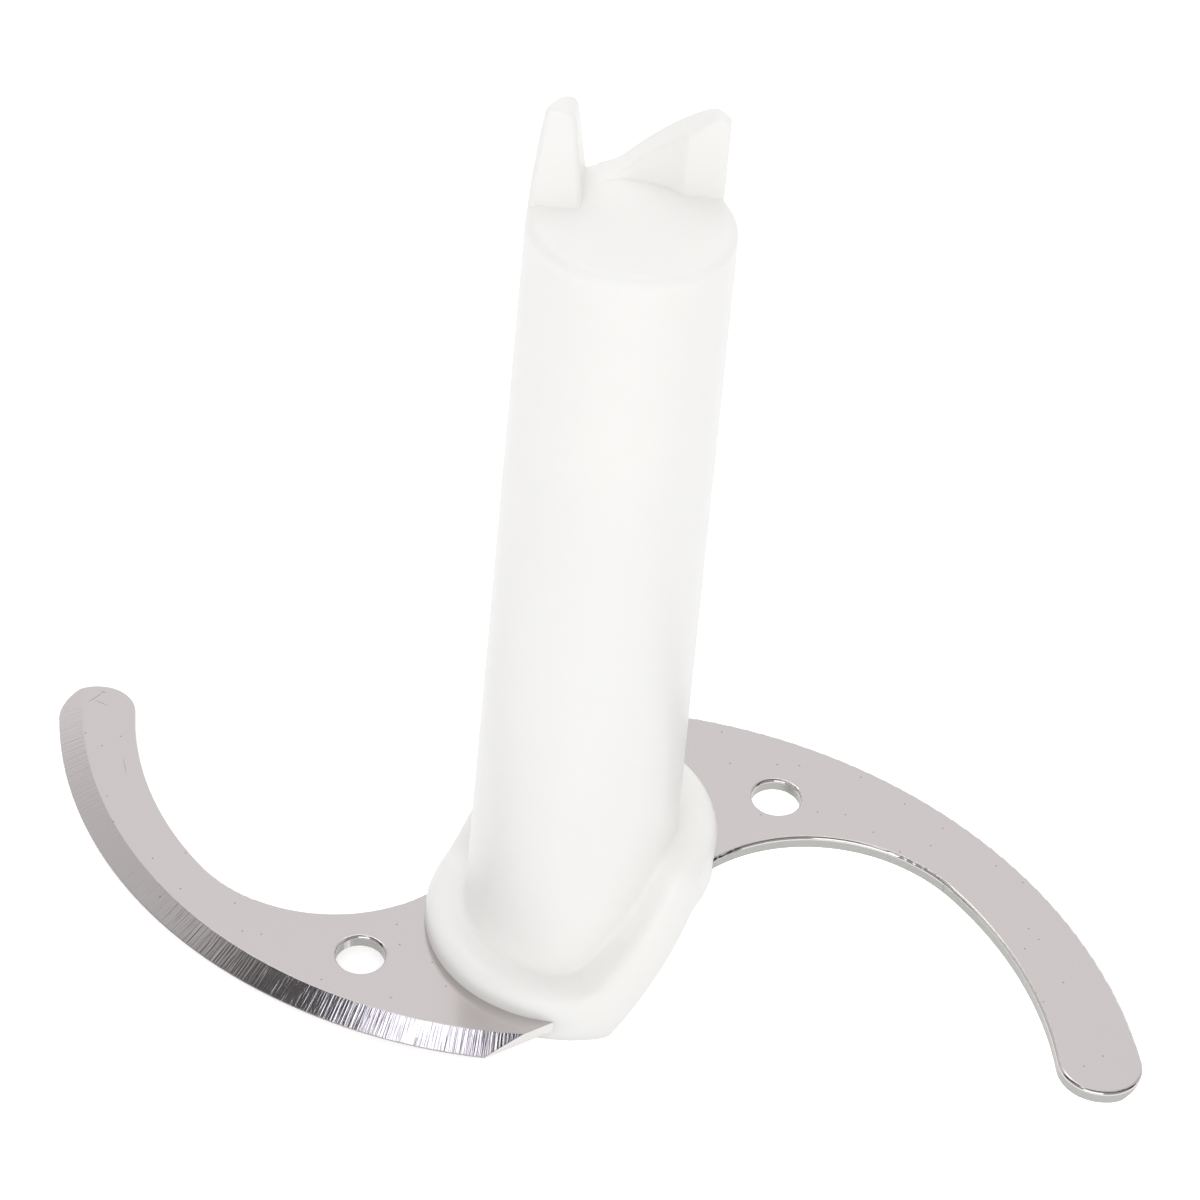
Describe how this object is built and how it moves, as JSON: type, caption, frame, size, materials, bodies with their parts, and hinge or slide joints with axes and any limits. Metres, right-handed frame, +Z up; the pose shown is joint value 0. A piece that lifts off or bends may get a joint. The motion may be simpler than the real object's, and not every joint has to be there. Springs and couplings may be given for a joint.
{
  "type": "food processor blade",
  "caption": "S-shaped food processor knife: a tall white moulded hub with a stepped flange that holds crescent steel blades on two levels",
  "frame": {"origin": "on the hub's axis, in the plane of its lower end, where it stands", "axes": "+Z up along the hub's axis; +X to the right and +Y away from the viewer as the picture shows it, with the lower blade to -X and the upper blade to +X"},
  "size_m": [0.1757, 0.0892, 0.1535],
  "materials": {
    "hub_plastic": "satin moulded",
    "blade_steel": "fine satin with ground bevels"
  },
  "bodies": {
    "root": {"hub": "hub_plastic", "lower_blade": "blade_steel", "upper_blade": "blade_steel"}
  },
  "joints": []
}
